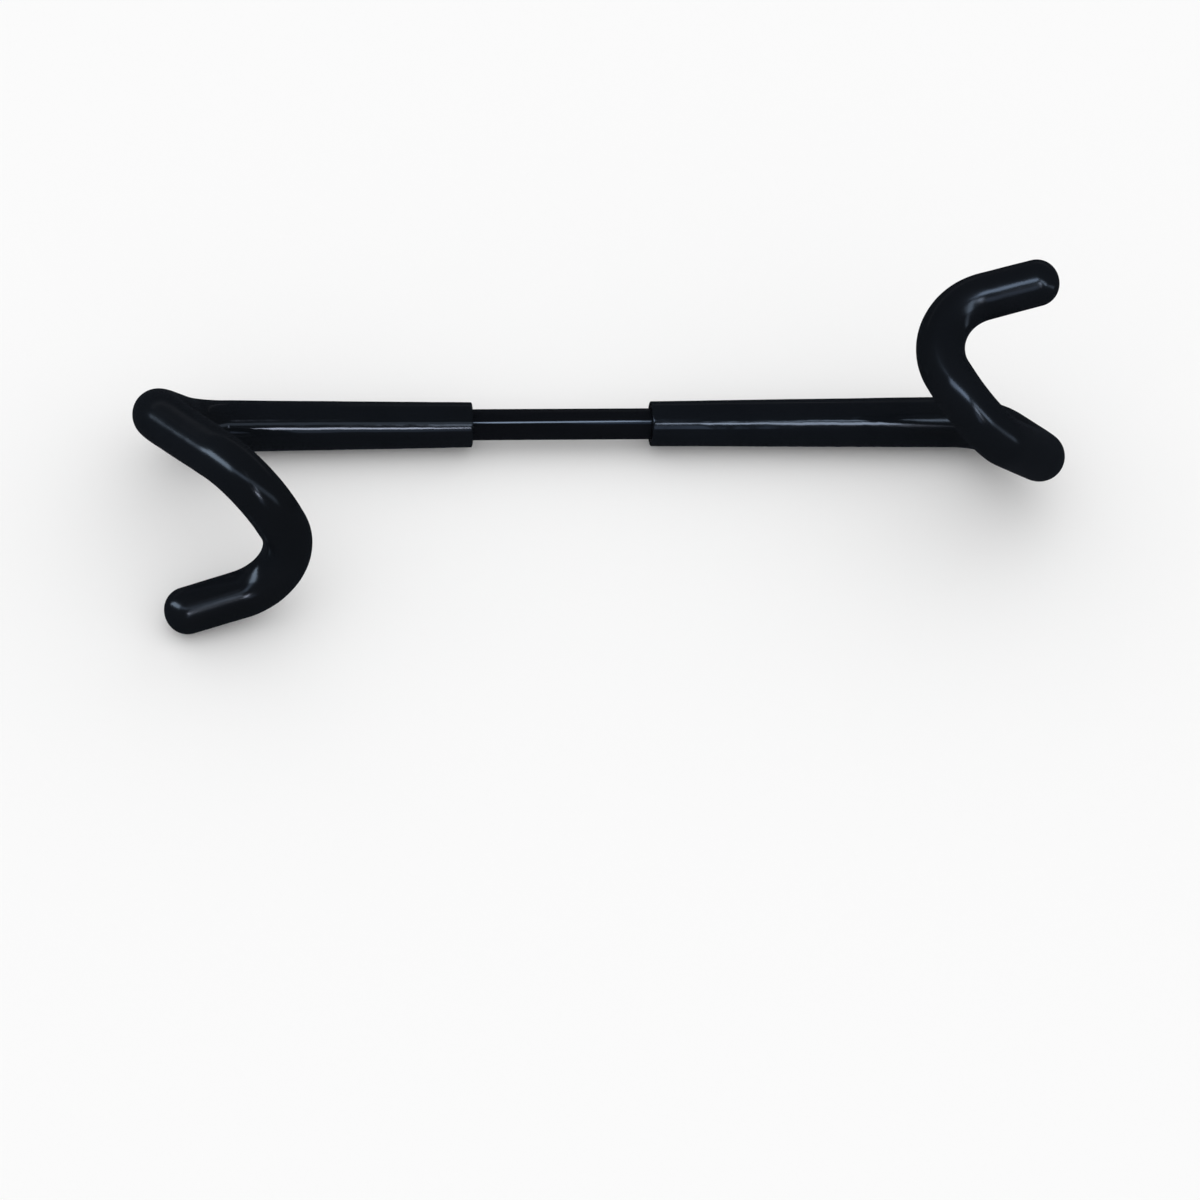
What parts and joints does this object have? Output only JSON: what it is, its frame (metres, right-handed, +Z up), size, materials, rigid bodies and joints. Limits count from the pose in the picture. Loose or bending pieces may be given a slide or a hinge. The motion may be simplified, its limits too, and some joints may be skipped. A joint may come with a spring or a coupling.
{
  "type": "bed cargo bar",
  "caption": "Sprung telescoping crossbar of black tube with a vinyl-dipped pigtail hook at each end, to span and grip between two posts or rails.",
  "frame": {"origin": "centre of the bounding box's base, on the floor; the bar's axis is 57.8 mm to the +Y side and 13.2 mm up", "axes": "+X along the bar towards the sliding half, +Z up; the left hook's tip rests on the floor on the -Y side"},
  "size_m": [0.4718, 0.1419, 0.1415],
  "materials": {
    "vinyl_dip": "glossy black vinyl dip with a faint blue cast",
    "black_paint": "smooth gloss black stoved paint",
    "bare_steel": "dull drawn steel, unpainted under the dip",
    "spring_steel": "oiled hard drawn wire",
    "zinc_plate": "bright zinc plate",
    "black_nylon": "moulded satin nylon",
    "black_polythene": "moulded matt plug",
    "black_rubber": "matt"
  },
  "bodies": {
    "left_half": {"left_hook_tube": "bare_steel", "left_coating": "vinyl_dip", "left_end_plug": "black_polythene", "left_mouth_bush": "black_nylon", "inner_tube": "black_paint", "rear_guide": "black_nylon", "cross_pin": "zinc_plate", "spring": "spring_steel"},
    "spring_swivel": {"swivel_eye": "zinc_plate", "thrust_washer": "zinc_plate", "swivel_nut": "zinc_plate"},
    "right_half": {"right_hook_tube": "bare_steel", "right_coating": "vinyl_dip", "right_end_plug": "black_polythene", "right_mouth_bush": "black_nylon", "anchor_plug": "bare_steel", "plug_pin": "zinc_plate", "buffer_ring": "black_rubber"}
  },
  "joints": [
    {"name": "extend", "type": "slide", "parent": "left_half", "child": "spring_swivel", "axis": [1, 0, 0], "range_m": [0, 0.1], "stiffness_N_per_m": 600, "springref_m": -0.03, "deforming": ["spring"]},
    {"name": "hook_swivel", "type": "hinge", "parent": "spring_swivel", "child": "right_half", "pos_m": [0.17, 0.0578, 0.0132], "axis": [1, 0, 0], "continuous": true}
  ]
}
